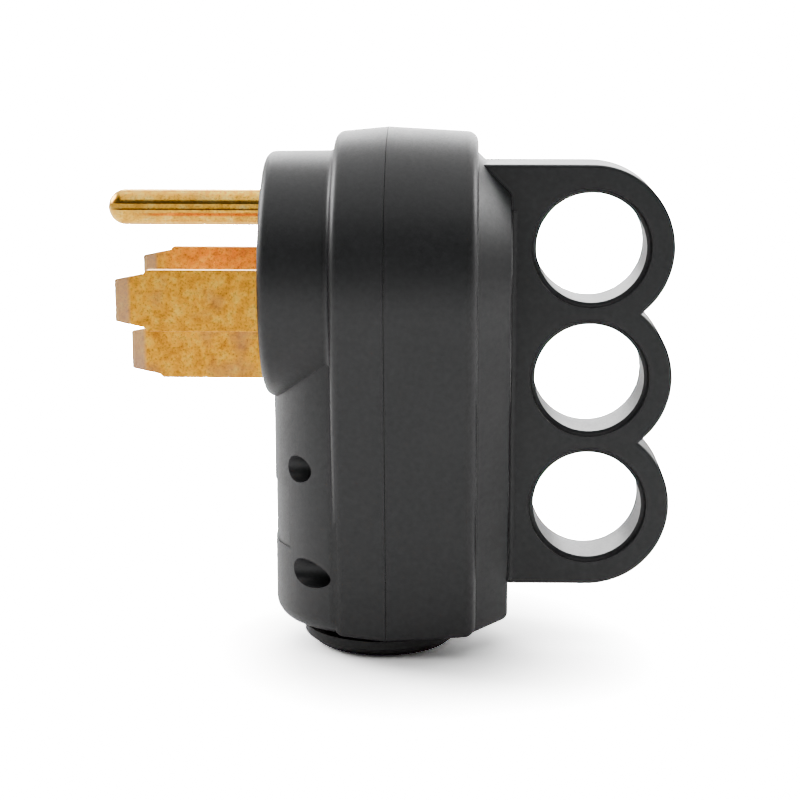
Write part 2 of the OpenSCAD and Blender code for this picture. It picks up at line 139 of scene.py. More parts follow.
def pick(piece, kind, test):
    """In edit mode, select the VERTs, EDGEs or FACEs whose middle passes the test."""
    take_up(piece)
    bpy.ops.object.mode_set(mode="EDIT")
    bpy.ops.mesh.select_mode(type=kind)
    bpy.ops.mesh.select_all(action="DESELECT")
    bpy.ops.object.mode_set(mode="OBJECT")
    mesh = piece.data
    items = {"VERT": mesh.vertices, "EDGE": mesh.edges, "FACE": mesh.polygons}[kind]
    found = 0
    for item in items:
        item.select = bool(test(middle_of(mesh, item), item))
        found += item.select
    bpy.ops.object.mode_set(mode="EDIT")
    return found


def near(a, b, slack=0.02 * MM):
    """Whether two lengths agree within the slack."""
    return abs(a - b) < slack


def slice_off(place, outward):
    """In edit mode, drop what lies beyond a plane and close the cut."""
    bpy.ops.mesh.bisect(plane_co=place, plane_no=outward, clear_outer=True, use_fill=True, threshold=HAIR)


def settle(name):
    """Name the active object and move its place into its mesh."""
    piece = bpy.context.object
    if piece.mode != "OBJECT":
        bpy.ops.object.mode_set(mode="OBJECT")
    piece.name = name
    bpy.ops.object.transform_apply(location=True, rotation=True, scale=True)
    return piece


def clean(piece, reach=0.002 * MM):
    """Merge points within reach, drop slivers and turn every face outwards."""
    take_up(piece)
    bpy.ops.object.mode_set(mode="EDIT")
    bpy.ops.mesh.select_all(action="SELECT")
    bpy.ops.mesh.remove_doubles(threshold=reach)
    bpy.ops.mesh.dissolve_degenerate(threshold=reach / 2)
    bpy.ops.mesh.normals_make_consistent(inside=False)
    bpy.ops.object.mode_set(mode="OBJECT")
    return piece

# %% [markdown]
# A boolean modifier joins or cuts solids exactly. The tool is used up, so the piece keeps one
# closed skin. Cutting is how a mould maker thinks too: a block, less its room, less its holes.

# %% Helpers for joining and cutting
def combine(piece, tool, how):
    """Join, cut or keep the shared part of a piece with a tool, which is then removed."""
    take_up(piece)
    bpy.ops.object.modifier_add(type="BOOLEAN")
    modifier = piece.modifiers[-1]
    modifier.operation = how
    modifier.solver = "EXACT"
    modifier.object = tool
    bpy.ops.object.modifier_apply(modifier=modifier.name)
    bpy.data.objects.remove(tool)
    return piece


def join(piece, tool):
    return combine(piece, tool, "UNION")


def cut(piece, tool):
    return combine(piece, tool, "DIFFERENCE")


def rod(name, radius, start, end, points=48):
    """A round rod between two places."""
    start, end = Vector(start), Vector(end)
    along = end - start
    turn = along.to_track_quat("Z", "Y").to_euler()
    bpy.ops.mesh.primitive_cylinder_add(
        vertices=points, radius=radius, depth=along.length, location=(start + end) / 2, rotation=turn
    )
    return settle(name)


def x_rod(name, radius, y, z, start_x, end_x, points=48):
    """A round rod along X."""
    return rod(name, radius, (start_x, y, z), (end_x, y, z), points)


def bar(name, low, high):
    """A bar between two corners."""
    low, high = Vector(low), Vector(high)
    bpy.ops.mesh.primitive_cube_add(size=1, location=(low + high) / 2, scale=high - low)
    return settle(name)

# %% [markdown]
# ## Growing a moulding from its outline
#
# A drafted, rounded moulding is a face that is drawn in a little and pushed out a little, again
# and again. Inset does both at once. A quarter round is a run of such steps along an arc.

# %% Helpers for growing
FACING = {"-X": (0, -math.pi / 2, 0), "+X": (0, math.pi / 2, 0), "-Z": (math.pi, 0, 0)}
FOOT_BAND = 3.2 * MM
FOOT_HALF = 10 * MM
FOOT_BREAK = 0.5 * MM


def disc(name, centre, radius, facing, points=AROUND):
    """A flat round face that looks along one axis."""
    bpy.ops.mesh.primitive_circle_add(
        vertices=points, radius=radius, fill_type="NGON", location=centre, rotation=FACING[facing]
    )
    return settle(name)


def round_over(radius, steps=6):
    """A straight wall turning into a face: (inwards, forwards) steps."""
    angles = [math.pi / 2 * i / steps for i in range(steps + 1)]
    return [
        (radius * (math.cos(a) - math.cos(b)), radius * (math.sin(b) - math.sin(a)))
        for a, b in zip(angles, angles[1:])
    ]


def flare(radius, steps=6):
    """A face turning into a straight wall, as in the hollow at the foot of a boss."""
    return [(inwards, forwards) for forwards, inwards in round_over(radius, steps)]


def grow(piece, steps):
    """Draw the piece's end face in and push it out along the steps, then close its base."""
    pick(piece, "FACE", lambda middle, face: True)
    for inwards, forwards in steps:
        bpy.ops.mesh.inset(thickness=inwards, depth=forwards, use_even_offset=True, use_boundary=True)
    bpy.ops.mesh.select_mode(type="EDGE")
    bpy.ops.mesh.select_all(action="DESELECT")
    bpy.ops.mesh.select_non_manifold()
    bpy.ops.mesh.edge_face_add()
    return clean(piece)


def body_face(name, x, radius, foot, facing, corner):
    """The plug's outline seen from the front: a round top, leaning sides and a flat foot.

    The corner is the radius at the foot's two ends, or 0 for sharp ones."""
    turn_z = -radius * math.sin(LEAN)
    half_top = radius * math.cos(LEAN)
    half_foot = radius / math.cos(LEAN) + foot * math.tan(LEAN)
    piece = disc(name, (x, 0, 0), radius, facing)
    pick(piece, "FACE", lambda middle, face: True)
    bpy.ops.mesh.bisect(plane_co=(x, 0, turn_z), plane_no=(0, 0, 1), clear_inner=True, threshold=HAIR)
    pick(piece, "EDGE", lambda middle, edge: near(middle.z, turn_z) and near(middle.y, 0))
    bpy.ops.mesh.extrude_edges_move(TRANSFORM_OT_translate={"value": (0, 0, foot - turn_z)})
    bpy.ops.transform.resize(value=(1, half_foot / half_top, 1), center_override=(x, 0, foot))
    pick(piece, "EDGE", lambda middle, edge: near(middle.z, turn_z) and near(middle.y, 0))
    bpy.ops.mesh.dissolve_edges(use_verts=False)
    if corner:
        pick(piece, "VERT", lambda middle, point: near(middle.z, foot))
        bpy.ops.mesh.bevel(affect="VERTICES", offset=corner, segments=6)
    bpy.ops.object.mode_set(mode="OBJECT")
    return piece


def break_foot(piece):
    """Bevel a block's lower edges a little, away from the middle of its foot."""
    pick(piece, "EDGE", lambda middle, edge: abs(middle.y) > FOOT_HALF and middle.z < BODY_FOOT + FOOT_BAND)
    bpy.ops.mesh.bevel(offset=FOOT_BREAK, segments=3, clamp_overlap=True)
    return clean(piece)

# %% [markdown]
# ## Finishing a piece
#
# Edges that turn by more than 32 degrees stay sharp and the rest is shaded smooth. A weighted
# normal modifier then keeps the big flat faces flat beside their small roundings, as on a real
# moulding.

# %% Helpers for finishing
SHARP = math.radians(32)


def polish(piece):
    """Shade a piece smooth except at its sharp edges."""
    take_up(piece)
    bpy.ops.object.shade_smooth_by_angle(angle=SHARP)
    bpy.ops.object.modifier_add(type="WEIGHTED_NORMAL")
    modifier = piece.modifiers[-1]
    modifier.keep_sharp = True
    bpy.ops.object.modifier_apply(modifier=modifier.name)


def finish_piece(piece, body, slot, material, *nodes):
    """Shade a piece, give it its material, hang it on its body's empty and hide the nodes it stands for."""
    polish(piece)
    piece.data.materials.clear()
    piece.data.materials.append(material)
    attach(piece, body)
    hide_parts(*nodes)
    low, high = [Vector(c) for c in (piece.bound_box[0], piece.bound_box[6])]
    size = [round(s / MM, 1) for s in high - low]
    print(piece.name, "has", len(piece.data.polygons), "faces and measures", size, "mm")

# %% [markdown]
# ## Camera, floor and light
#
# The plug stands on its rubber gland in front of a white sweep. The camera looks a little down
# on it through a long lens. The light comes from the bright sweep behind and from four soft
# boxes behind, above and at both sides, so tops and edges shine while the near side stays dark.

# %% Camera
CAMERA_PLACE = Vector((39.3, -397.9, 56.7)) * MM
CAMERA_LOOKS = Vector((-0.03179, 0.97881, -0.20227))
camera_data = bpy.data.cameras.new("camera")
camera_data.sensor_width = 36
camera_data.lens = 90.8
camera_data.clip_end = 50
camera = bpy.data.objects.new("camera", camera_data)
bpy.context.scene.collection.objects.link(camera)
camera.location = CAMERA_PLACE
camera.rotation_euler = CAMERA_LOOKS.to_track_quat("-Z", "Y").to_euler()
bpy.context.scene.camera = camera
print("camera", round(camera.location.length, 3), "m away")

# %% [markdown]
# The floor keeps the plug's soft shadow. Seen by the camera it is far brighter than white paint,
# except for a painted shadow below the plug: a dimmer pool that deepens the shadow there and fades into
# pure white.

# %% Floor
FLOOR_SIZE = 40
FLOOR_GAP = 0.05 * MM
FLOOR_PAINT = (0.85, 0.85, 0.85, 1)
# Painted shadow on the floor: its centre, where its fade starts and ends, its dim middle and the glow
# outside it.
PAINTED_SHADOW_X = 0.032
PAINTED_SHADOW_NEAR, PAINTED_SHADOW_FAR = 0.01, 0.11
PAINTED_SHADOW_DIM, PAINTED_SHADOW_OUTSIDE = 2, 30
bpy.ops.object.select_all(action="DESELECT")
bpy.ops.mesh.primitive_plane_add(size=FLOOR_SIZE, location=(0, 0, gland_low.z - FLOOR_GAP))
floor = settle("floor")
floor_paint = bpy.data.materials.new("floor_paint")
floor_paint.use_nodes = True
tree = floor_paint.node_tree
tree.nodes.remove(tree.nodes["Principled BSDF"])
paint = tree.nodes.new("ShaderNodeBsdfDiffuse")
seen = tree.nodes.new("ShaderNodeLightPath").outputs["Is Camera Ray"]
tint = tree.nodes.new("ShaderNodeMix")
tint.data_type = "RGBA"
tint.inputs["A"].default_value = FLOOR_PAINT
reach = tree.nodes.new("ShaderNodeVectorMath")
reach.operation = "DISTANCE"
reach.inputs[1].default_value = (PAINTED_SHADOW_X, 0, gland_low.z)
tree.links.new(tree.nodes.new("ShaderNodeTexCoord").outputs["Object"], reach.inputs[0])
# Painted shadow: the camera sees the floor dimmer close to the plug, brightening to the full glow farther
# out.
glow_and_painted_shadow = tree.nodes.new("ShaderNodeMapRange")
glow_and_painted_shadow.interpolation_type = "SMOOTHSTEP"
glow_and_painted_shadow.inputs["From Min"].default_value = PAINTED_SHADOW_NEAR
glow_and_painted_shadow.inputs["From Max"].default_value = PAINTED_SHADOW_FAR
glow_and_painted_shadow.inputs["To Min"].default_value = PAINTED_SHADOW_DIM
glow_and_painted_shadow.inputs["To Max"].default_value = PAINTED_SHADOW_OUTSIDE
tree.links.new(reach.outputs["Value"], glow_and_painted_shadow.inputs["Value"])
tree.links.new(glow_and_painted_shadow.outputs["Result"], tint.inputs["B"])
tree.links.new(seen, tint.inputs["Factor"])
tree.links.new(tint.outputs["Result"], paint.inputs["Color"])
tree.links.new(paint.outputs["BSDF"], tree.nodes["Material Output"].inputs["Surface"])
floor.data.materials.append(floor_paint)
print("the floor is", FLOOR_SIZE, "m wide, at", round(gland_low.z / MM, 1), "mm")

# %% [markdown]
# The world is a plain white room, dim behind the camera and bright behind the plug. What the
# camera itself sees of it is pure white.

# %% Light
WHITE = (1, 1, 1, 1)
ROOM_DIM, ROOM_BRIGHT = 0.08, 2.0
SWEEP_BRIGHT = 20
PLUG_MIDDLE = (0.03, 0, 0)


def soft_light(name, place, size, power):
    """A square soft box that faces the plug."""
    data = bpy.data.lights.new(name, "AREA")
    data.shape = "SQUARE"
    data.size = size
    data.energy = power
    lamp = bpy.data.objects.new(name, data)
    bpy.context.scene.collection.objects.link(lamp)
    lamp.location = place
    aim = Vector(PLUG_MIDDLE) - Vector(place)
    lamp.rotation_euler = aim.to_track_quat("-Z", "Y").to_euler()


world = bpy.data.worlds.new("studio")
bpy.context.scene.world = world
world.use_nodes = True
tree = world.node_tree
room = tree.nodes["Background"]
room.inputs["Color"].default_value = WHITE
sweep = tree.nodes.new("ShaderNodeBackground")
sweep.inputs["Color"].default_value = WHITE
sweep.inputs["Strength"].default_value = SWEEP_BRIGHT
direction = tree.nodes.new("ShaderNodeTexCoord").outputs["Generated"]
parts = tree.nodes.new("ShaderNodeSeparateXYZ")
tree.links.new(direction, parts.inputs["Vector"])
shade = tree.nodes.new("ShaderNodeMapRange")
shade.interpolation_type = "SMOOTHSTEP"
shade.inputs["From Min"].default_value = -0.4
shade.inputs["From Max"].default_value = 1.0
shade.inputs["To Min"].default_value = ROOM_DIM
shade.inputs["To Max"].default_value = ROOM_BRIGHT
tree.links.new(parts.outputs["Y"], shade.inputs["Value"])
tree.links.new(shade.outputs["Result"], room.inputs["Strength"])
seen = tree.nodes.new("ShaderNodeLightPath").outputs["Is Camera Ray"]
mix = tree.nodes.new("ShaderNodeMixShader")
tree.links.new(seen, mix.inputs[0])
tree.links.new(room.outputs["Background"], mix.inputs[1])
tree.links.new(sweep.outputs["Background"], mix.inputs[2])
tree.links.new(mix.outputs["Shader"], tree.nodes["World Output"].inputs["Surface"])
soft_light("back_light", (0.05, 0.85, 0.34), 0.7, 13)
soft_light("top_light", (0.03, -0.10, 0.85), 1.1, 5)
soft_light("left_light", (-0.75, 0.36, 0.40), 0.4, 10)
soft_light("right_light", (0.80, 0.36, 0.40), 0.4, 6)

# %% [markdown]
# ## Finishes
#
# Each finish is a small node tree. The moulded plastic is near black with a fine spark-eroded
# grain: a fine noise drives a shallow bump, and a wide one leaves patches that hands have rubbed.

# %% Helpers for finishes
def start_finish(name, colour, roughness, metallic=0.0):
    """A new material, with its tree, its shader and the object's own coordinates."""
    material = bpy.data.materials.new(name)
    material.use_nodes = True
    tree = material.node_tree
    shader = tree.nodes["Principled BSDF"]
    shader.inputs["Base Color"].default_value = (*colour, 1)
    shader.inputs["Roughness"].default_value = roughness
    shader.inputs["Metallic"].default_value = metallic
    place = tree.nodes.new("ShaderNodeTexCoord").outputs["Object"]
    return material, tree, shader, place


def noise(tree, place, scale, detail, roughness=0.5):
    """A noise field; the scale is in waves per metre."""
    node = tree.nodes.new("ShaderNodeTexNoise")
    node.inputs["Scale"].default_value = scale
    node.inputs["Detail"].default_value = detail
    node.inputs["Roughness"].default_value = roughness
    tree.links.new(place, node.inputs["Vector"])
    return node.outputs["Fac"]


def ramp(tree, value, stops):
    """Turn a value into a colour along a list of (position, colour) stops."""
    node = tree.nodes.new("ShaderNodeValToRGB")
    elements = node.color_ramp.elements
    while len(elements) < len(stops):
        elements.new(0.5)
    for element, (position, colour) in zip(elements, stops):
        element.position = position
        element.color = (*colour, 1)
    tree.links.new(value, node.inputs["Fac"])
    return node.outputs["Color"]


def spread(tree, value, low, high):
    """Stretch a noise's middle range to run from low to high."""
    node = tree.nodes.new("ShaderNodeMapRange")
    node.inputs["From Min"].default_value = 0.3
    node.inputs["From Max"].default_value = 0.7
    node.inputs["To Min"].default_value = low
    node.inputs["To Max"].default_value = high
    tree.links.new(value, node.inputs["Value"])
    return node.outputs["Result"]


def bump(tree, shader, height, depth, strength):
    """Let a value raise the surface by a depth."""
    node = tree.nodes.new("ShaderNodeBump")
    node.inputs["Strength"].default_value = strength
    node.inputs["Distance"].default_value = depth
    tree.links.new(height, node.inputs["Height"])
    tree.links.new(node.outputs["Normal"], shader.inputs["Normal"])

# %% Moulded housing plastic
GRAIN = 0.02 * MM


def moulded_plastic(name, dark, light, roughness):
    """Plastic or rubber: two close tones, a fine grain and rubbed patches."""
    material, tree, shader, place = start_finish(name, dark, roughness)
    shader.inputs["Specular IOR Level"].default_value = 0.4
    cloud = noise(tree, place, 900, 4)
    tree.links.new(ramp(tree, cloud, [(0.35, dark), (0.7, light)]), shader.inputs["Base Color"])
    fine = noise(tree, place, 2600, 2)
    rubbed = tree.nodes.new("ShaderNodeMath")
    tree.links.new(spread(tree, fine, roughness - 0.05, roughness + 0.06), rubbed.inputs[0])
    tree.links.new(spread(tree, noise(tree, place, 55, 6, 0.6), -0.04, 0.05), rubbed.inputs[1])
    tree.links.new(rubbed.outputs["Value"], shader.inputs["Roughness"])
    bump(tree, shader, fine, GRAIN, 0.5)
    return material


HOUSING = moulded_plastic("housing_plastic", (0.015, 0.0153, 0.0162), (0.020, 0.0204, 0.0216), 0.42)
RUBBER = moulded_plastic("gland_rubber_finish", (0.012, 0.012, 0.012), (0.018, 0.018, 0.018), 0.62)
print("plastic finishes:", HOUSING.name, "and", RUBBER.name)

# %% [markdown]
# The contacts are bare brass. Tarnish darkens it in clouds and fine specks, wide stains run
# through it, and the coined tips of the blades are rubbed greyer by the socket.

# %% Tarnished brass
SPECK = (0.45, 0.4, 0.38)
RUBBED_TIP = (0.50, 0.33, 0.24, 1)
TIP_STARTS = -24.4 * MM
TIP_WORN = -25.2 * MM
BRASS_GRAIN = 0.03 * MM


def tarnished_brass(name, deep, warm, pale, stain, roughness, tip=0.0):
    """Rolled brass: warm metal with clouds of tarnish, fine speckle and a greyer rubbed tip."""
    material, tree, shader, place = start_finish(name, warm, roughness, 1.0)
    cloud = noise(tree, place, 420, 6, 0.7)
    speck = noise(tree, place, 2600, 4, 0.7)
    base = ramp(tree, cloud, [(0.3, deep), (0.5, warm), (0.68, pale)])
    spots = ramp(tree, speck, [(0.36, SPECK), (0.5, (1, 1, 1))])
    mix = tree.nodes.new("ShaderNodeMix")
    mix.data_type = "RGBA"
    mix.blend_type = "MULTIPLY"
    mix.inputs["Factor"].default_value = 0.75
    tree.links.new(base, mix.inputs["A"])
    tree.links.new(spots, mix.inputs["B"])
    patch = noise(tree, place, 70, 3, 0.6)
    stained = tree.nodes.new("ShaderNodeMix")
    stained.data_type = "RGBA"
    tree.links.new(spread(tree, patch, -0.9, 0.75), stained.inputs["Factor"])
    tree.links.new(mix.outputs["Result"], stained.inputs["A"])
    stained.inputs["B"].default_value = (*stain, 1)
    parts = tree.nodes.new("ShaderNodeSeparateXYZ")
    tree.links.new(place, parts.inputs["Vector"])
    worn = tree.nodes.new("ShaderNodeMapRange")
    worn.inputs["From Min"].default_value = TIP_STARTS
    worn.inputs["From Max"].default_value = TIP_WORN
    worn.inputs["To Min"].default_value = 0
    worn.inputs["To Max"].default_value = tip
    tree.links.new(parts.outputs["X"], worn.inputs["Value"])
    end = tree.nodes.new("ShaderNodeMix")
    end.data_type = "RGBA"
    tree.links.new(worn.outputs["Result"], end.inputs["Factor"])
    tree.links.new(stained.outputs["Result"], end.inputs["A"])
    end.inputs["B"].default_value = RUBBED_TIP
    tree.links.new(end.outputs["Result"], shader.inputs["Base Color"])
    tree.links.new(spread(tree, speck, roughness + 0.1, roughness - 0.06), shader.inputs["Roughness"])
    bump(tree, shader, speck, BRASS_GRAIN, 0.35)
    return material


BLADE_BRASS = tarnished_brass(
    "blade_brass_finish", deep=(0.55, 0.20, 0.010), warm=(0.90, 0.40, 0.018), pale=(1.0, 0.58, 0.06),
    stain=(0.48, 0.22, 0.10), roughness=0.32, tip=0.6
)
PIN_BRASS = tarnished_brass(
    "pin_brass_finish", deep=(0.62, 0.28, 0.02), warm=(0.95, 0.50, 0.045), pale=(1.0, 0.72, 0.17),
    stain=(0.50, 0.22, 0.03), roughness=0.18
)
print("brass finishes:", BLADE_BRASS.name, "and", PIN_BRASS.name)

# %% [markdown]
# ## Front housing
#
# The front half is one moulding: the round boss that meets the socket, the front of the thick
# block and the upright half-round barrel below, where the cord comes up. Each of the three grows
# from its own outline, and booleans weld them into one skin.

# %% Outside of the front housing
DRAFT_FRONT = 0.8 * MM
BLOCK_EDGE = 2 * MM
block_run = SEAM_X - BLOCK_X - BLOCK_EDGE

front = body_face("front_housing_shell", SEAM_X, BODY_R, BODY_FOOT, "-X", 0)
grow(front, [(DRAFT_FRONT, block_run)] + round_over(BLOCK_EDGE))
break_foot(front)

BOSS_FLARE = 1.4 * MM
BOSS_SINK = 0.05 * MM
BOSS_DRAFT = 0.1 * MM
RIM = 2 * MM
boss_run = BLOCK_X - BOSS_FLARE - RIM
boss = disc("boss", (BLOCK_X + BOSS_SINK, 0, 0), BOSS_R + BOSS_FLARE, "-X")
grow(boss, flare(BOSS_FLARE) + [(BOSS_DRAFT, boss_run + BOSS_SINK)] + round_over(RIM))
join(front, boss)
print("boss joined,", len(front.data.polygons), "faces")

# %% [markdown]
# The barrel narrows towards its foot, as the block's sides lean in. A shallow panel on its front
# is where a maker would mould a rating label. Here it stays blank.

# %% The barrel below the boss
BARREL_TOP = -10 * MM
BARREL_EDGE = 4.5 * MM
BARREL_IN = 1.2 * MM
BARREL_DRAFT = 0.05 * MM
BARREL_LIFT = 0.7 * MM
BARREL_REACH = 3 * MM
TAPER_TOP = -49.1 * MM
TAPER_GAP = 0.1 * MM
TAPER_PER_M = 8.9
PANEL_LOW = Vector((-2, -12, -53.2)) * MM
PANEL_HIGH = Vector((8, 12, -40.8)) * MM
PANEL_DEPTH = 0.22 * MM


def trim_sides(piece, radius, end_x):
    """Slice a barrel along the leaning sides and the parting plane."""
    for side in (-1, 1):
        pick(piece, "FACE", lambda middle, face: True)
        out = Vector((0, side * math.cos(LEAN), -math.sin(LEAN)))
        slice_off(out * radius, out)
    pick(piece, "FACE", lambda middle, face: True)
    slice_off((end_x, 0, 0), (1, 0, 0))
    return clean(piece)


def barrel_solid(name, inset, side_inset, end_x, lift=0):
    """The upright half-round shape, taken in all round by the inset, narrower towards its foot."""
    edge = BARREL_EDGE - inset
    straight = BARREL_TOP - TAPER_TOP
    run = BARREL_TOP - BODY_FOOT - inset - edge - lift
    piece = disc(name, (BARREL_X, 0, BARREL_TOP), BARREL_R - inset, "-Z")
    grow(piece, [(BARREL_DRAFT, straight), (BARREL_DRAFT, run - straight)] + round_over(edge, 8))
    levels = sorted({round(point.co.z, 6) for point in piece.data.vertices})
    for level in levels:
        if level < TAPER_TOP - TAPER_GAP:
            pick(piece, "VERT", lambda middle, point: near(middle.z, level, 5 * HAIR))
            narrow = 1 - (TAPER_TOP - level) * TAPER_PER_M
            bpy.ops.transform.resize(value=(1, narrow, 1), center_override=(BARREL_X, 0, level))
    return trim_sides(piece, BODY_R - side_inset, end_x)


join(front, barrel_solid("barrel", 0, BARREL_IN, BLOCK_X + BARREL_REACH, BARREL_LIFT))
clean(front)
panel = bar("panel", PANEL_LOW, PANEL_HIGH)
cut(panel, barrel_solid("panel_floor", PANEL_DEPTH, BARREL_IN, BLOCK_X))
cut(front, panel)
clean(front)
print("barrel joined,", len(front.data.polygons), "faces")

# %% [markdown]
# Inside, one wall thickness is left all round. A shallow rebate at the parting seam takes the
# lip of the rear cover.

# %% The rooms inside the front housing
ROOM_CORNER = 2 * MM
SEAM_CORNER = 3 * MM
REBATE_IN = 1.4 * MM
REBATE_DEEP = 2.1 * MM
room = body_face("room", SEAM_X + PAST, BODY_R - WALL, BODY_FOOT + WALL, "-X", ROOM_CORNER)
grow(room, [(0, SEAM_X + PAST - BLOCK_X - WALL)])
cut(front, room)
cut(front, x_rod("boss_room", BOSS_R - WALL, 0, 0, FRONT_WALL, BLOCK_X + WALL + PAST, 96))
cut(front, barrel_solid("barrel_room", WALL, WALL + BARREL_IN, SEAM_X + PAST))
rebate = body_face("rebate", SEAM_X + PAST, BODY_R - REBATE_IN, BODY_FOOT + REBATE_IN, "-X", SEAM_CORNER)
grow(rebate, [(0, PAST + REBATE_DEEP)])
cut(front, rebate)
print("rooms cut,", len(front.data.polygons), "faces")

# %% [markdown]
# Four columns of plastic guide the housing screws. Their holes open in the curved front of the
# barrel, so they look black from outside. The lower two open in a wider mouth. Each screw is a row:
# its distance from the middle, its height, the radii of its head and thread, and where its head
# comes to rest.

# %% Screw columns and their holes
HOUSING_SCREWS = [(14.8, -36.4, 2.65, 1.7, 16.2), (15.4, -57.4, 2.4, 1.5, 17.2)]
SCREWS = [(side * y * MM, z * MM, head, thread, seat * MM)
          for y, z, head, thread, seat in HOUSING_SCREWS for side in (-1, 1)]
HEAD_WALL = 1.15 * MM
THREAD_AIR = 0.1
COLUMN_SHORT = 0.3 * MM
KEEPER_IN = 1 * MM
CLOSE = 0.02 * MM
MOUTH_BELOW = -50 * MM
MOUTH_Y = 15.3 * MM
MOUTH_R = 2.95 * MM
MOUTH_END = 13.7 * MM

for y, z, head, thread, seat in SCREWS:
    column = x_rod("column", head * MM + HEAD_WALL, y, z, 0, SEAM_X - COLUMN_SHORT)
    combine(column, barrel_solid("keeper", KEEPER_IN, KEEPER_IN, SEAM_X + PAST), "INTERSECT")
    join(front, column)
clean(front, CLOSE)
for y, z, head, thread, seat in SCREWS:
    cut(front, x_rod("head_hole", head * MM, y, z, -PAST, seat))
    if z < MOUTH_BELOW:
        cut(front, x_rod("mouth", MOUTH_R, math.copysign(MOUTH_Y, y), z, -PAST, MOUTH_END, 44))
    cut(front, x_rod("thread_hole", (thread + THREAD_AIR) * MM, y, z, seat - PAST, SEAM_X + PAST, 24))
print("screw holes cut,", len(front.data.polygons), "faces")

# %% [markdown]
# Three short posts carry the contact retainer. The face has a slot for each blade and a round
# hole for the pin, all with a little air, and the foot is open for the gland.

# %% Posts, slots and openings
POSTS = [(12.5 * MM, 12.5 * MM), (-12.5 * MM, 12.5 * MM), (-9.5 * MM, -15.5 * MM)]
POST_R = 3 * MM
POST_ROOT = 0.5 * MM
POST_END = 7.2 * MM
POST_HOLE_R = 1.5 * MM
POST_HOLE_X = 2.4 * MM
HOT_SLOT = (-8.6 * MM, 3.2 * MM)
NEUTRAL_SLOT = (-21.0 * MM, -9.8 * MM)
SLOT_AIR = 0.25 * MM

for y, z in POSTS:
    join(front, x_rod("post", POST_R, y, z, FRONT_WALL - POST_ROOT, POST_END, 32))
    cut(front, x_rod("post_hole", POST_HOLE_R, y, z, POST_HOLE_X, POST_END + PAST, 24))
for y, (low, high) in [
    (hot_high.y - BLADE_HALF, HOT_SLOT),
    (-hot_high.y + BLADE_HALF, HOT_SLOT),
    (0, NEUTRAL_SLOT),
]:
    slot = bar("slot", (-PAST, y - BLADE_HALF - SLOT_AIR, low - SLOT_AIR),
               (FRONT_WALL + PAST, y + BLADE_HALF + SLOT_AIR, high + SLOT_AIR))
    cut(front, slot)
cut(front, x_rod("pin_hole", PIN_R + SLOT_AIR, 0, PIN_Z, -PAST, FRONT_WALL + PAST))


def open_foot(piece):
    """Cut the round hole for the gland into a housing half's foot."""
    cut(piece, rod("gland_hole", GLAND_NECK + GLAND_AIR, (CORD_X, 0, BODY_FOOT - PAST),
                   (CORD_X, 0, BODY_FOOT + WALL + PAST), 96))


open_foot(front)
clean(front)
print("openings cut,", len(front.data.polygons), "faces")
finish_piece(front, "front", "housing", HOUSING, "front_housing")

# %% [markdown]
# Turned shapes are spun: half of the section is drawn as a chain of points and swept round an
# axis. A chain can also close on itself and be filled, as the outline of a plate.

# %% Drawing and spinning a chain of points
def draw_chain(places, closed):
    """Stay in edit mode with edges drawn from place to place, out of a plane merged to one point."""
    bpy.ops.object.select_all(action="DESELECT")
    bpy.ops.mesh.primitive_plane_add(size=MM, location=(0, 0, 0))
    bpy.ops.object.mode_set(mode="EDIT")
    bpy.ops.mesh.select_mode(type="VERT")
    bpy.ops.mesh.select_all(action="SELECT")
    bpy.ops.mesh.merge(type="CENTER")
    bpy.ops.transform.translate(value=places[0])
    ring = places + places[:1] if closed else places
    for a, b in zip(ring, ring[1:]):
        bpy.ops.mesh.extrude_vertices_move(TRANSFORM_OT_translate={"value": b - a})
    bpy.ops.mesh.select_all(action="SELECT")
    bpy.ops.mesh.remove_doubles(threshold=HAIR)


def lathe(name, section, centre, axis, turns=96):
    """Spin a section of (distance, height) points around an axis; one that starts on it stays open."""
    along = Vector(axis).normalized()
    outward = along.orthogonal().normalized()
    draw_chain([Vector(centre) + outward * r + along * h for r, h in section], section[0][0] > 0)
    bpy.ops.mesh.spin(steps=turns, angle=2 * math.pi, center=centre, axis=along)
    return clean(settle(name))


def push_out(name, outline, along):
    """Fill a closed chain of points and push it out into a solid."""
    draw_chain(outline, True)
    bpy.ops.mesh.edge_face_add()
    bpy.ops.mesh.extrude_region_move(TRANSFORM_OT_translate={"value": along})
    return clean(settle(name))

# %% [markdown]
# ## Rear cover with its handle
#
# The rear half is a shallow box with a raised back, and the handle grows out of that back in the
# same moulding. The raised back's foot is cut along a slightly rising line with a round heel. The
# tool for that is a filled chain that is pushed out sideways.

# %% The block's rear half and the raised back
DRAFT_REAR = 0.85 * MM
BACK_EDGE = 2.2 * MM
SEAM_GAP = 0.1 * MM
rear_run = BLOCK_END - SEAM_X - BACK_EDGE
cover = body_face("rear_cover_shell", SEAM_X + SEAM_GAP, BODY_R, BODY_FOOT, "+X", 0)
grow(cover, [(DRAFT_REAR, rear_run - SEAM_GAP)] + round_over(BACK_EDGE))
break_foot(cover)

BACK_R = BODY_R - 5 * MM
BACK_SLOPE = 6.2 * MM
BACK_SINK = 0.5 * MM
BACK_SPARE = 5 * MM
BACK_RIM = [(0.5 * MM, 0.25 * MM), (0.4 * MM, 0.1 * MM)]
slope_run = BACK_X - BLOCK_END - sum(forwards for inwards, forwards in BACK_RIM)
back = body_face(
    "raised_back", BLOCK_END - BACK_SINK, BACK_R + BACK_SINK, BODY_FOOT - BACK_SPARE, "+X", ROOM_CORNER
)
grow(back, [(BACK_SLOPE, slope_run + BACK_SINK)] + BACK_RIM)

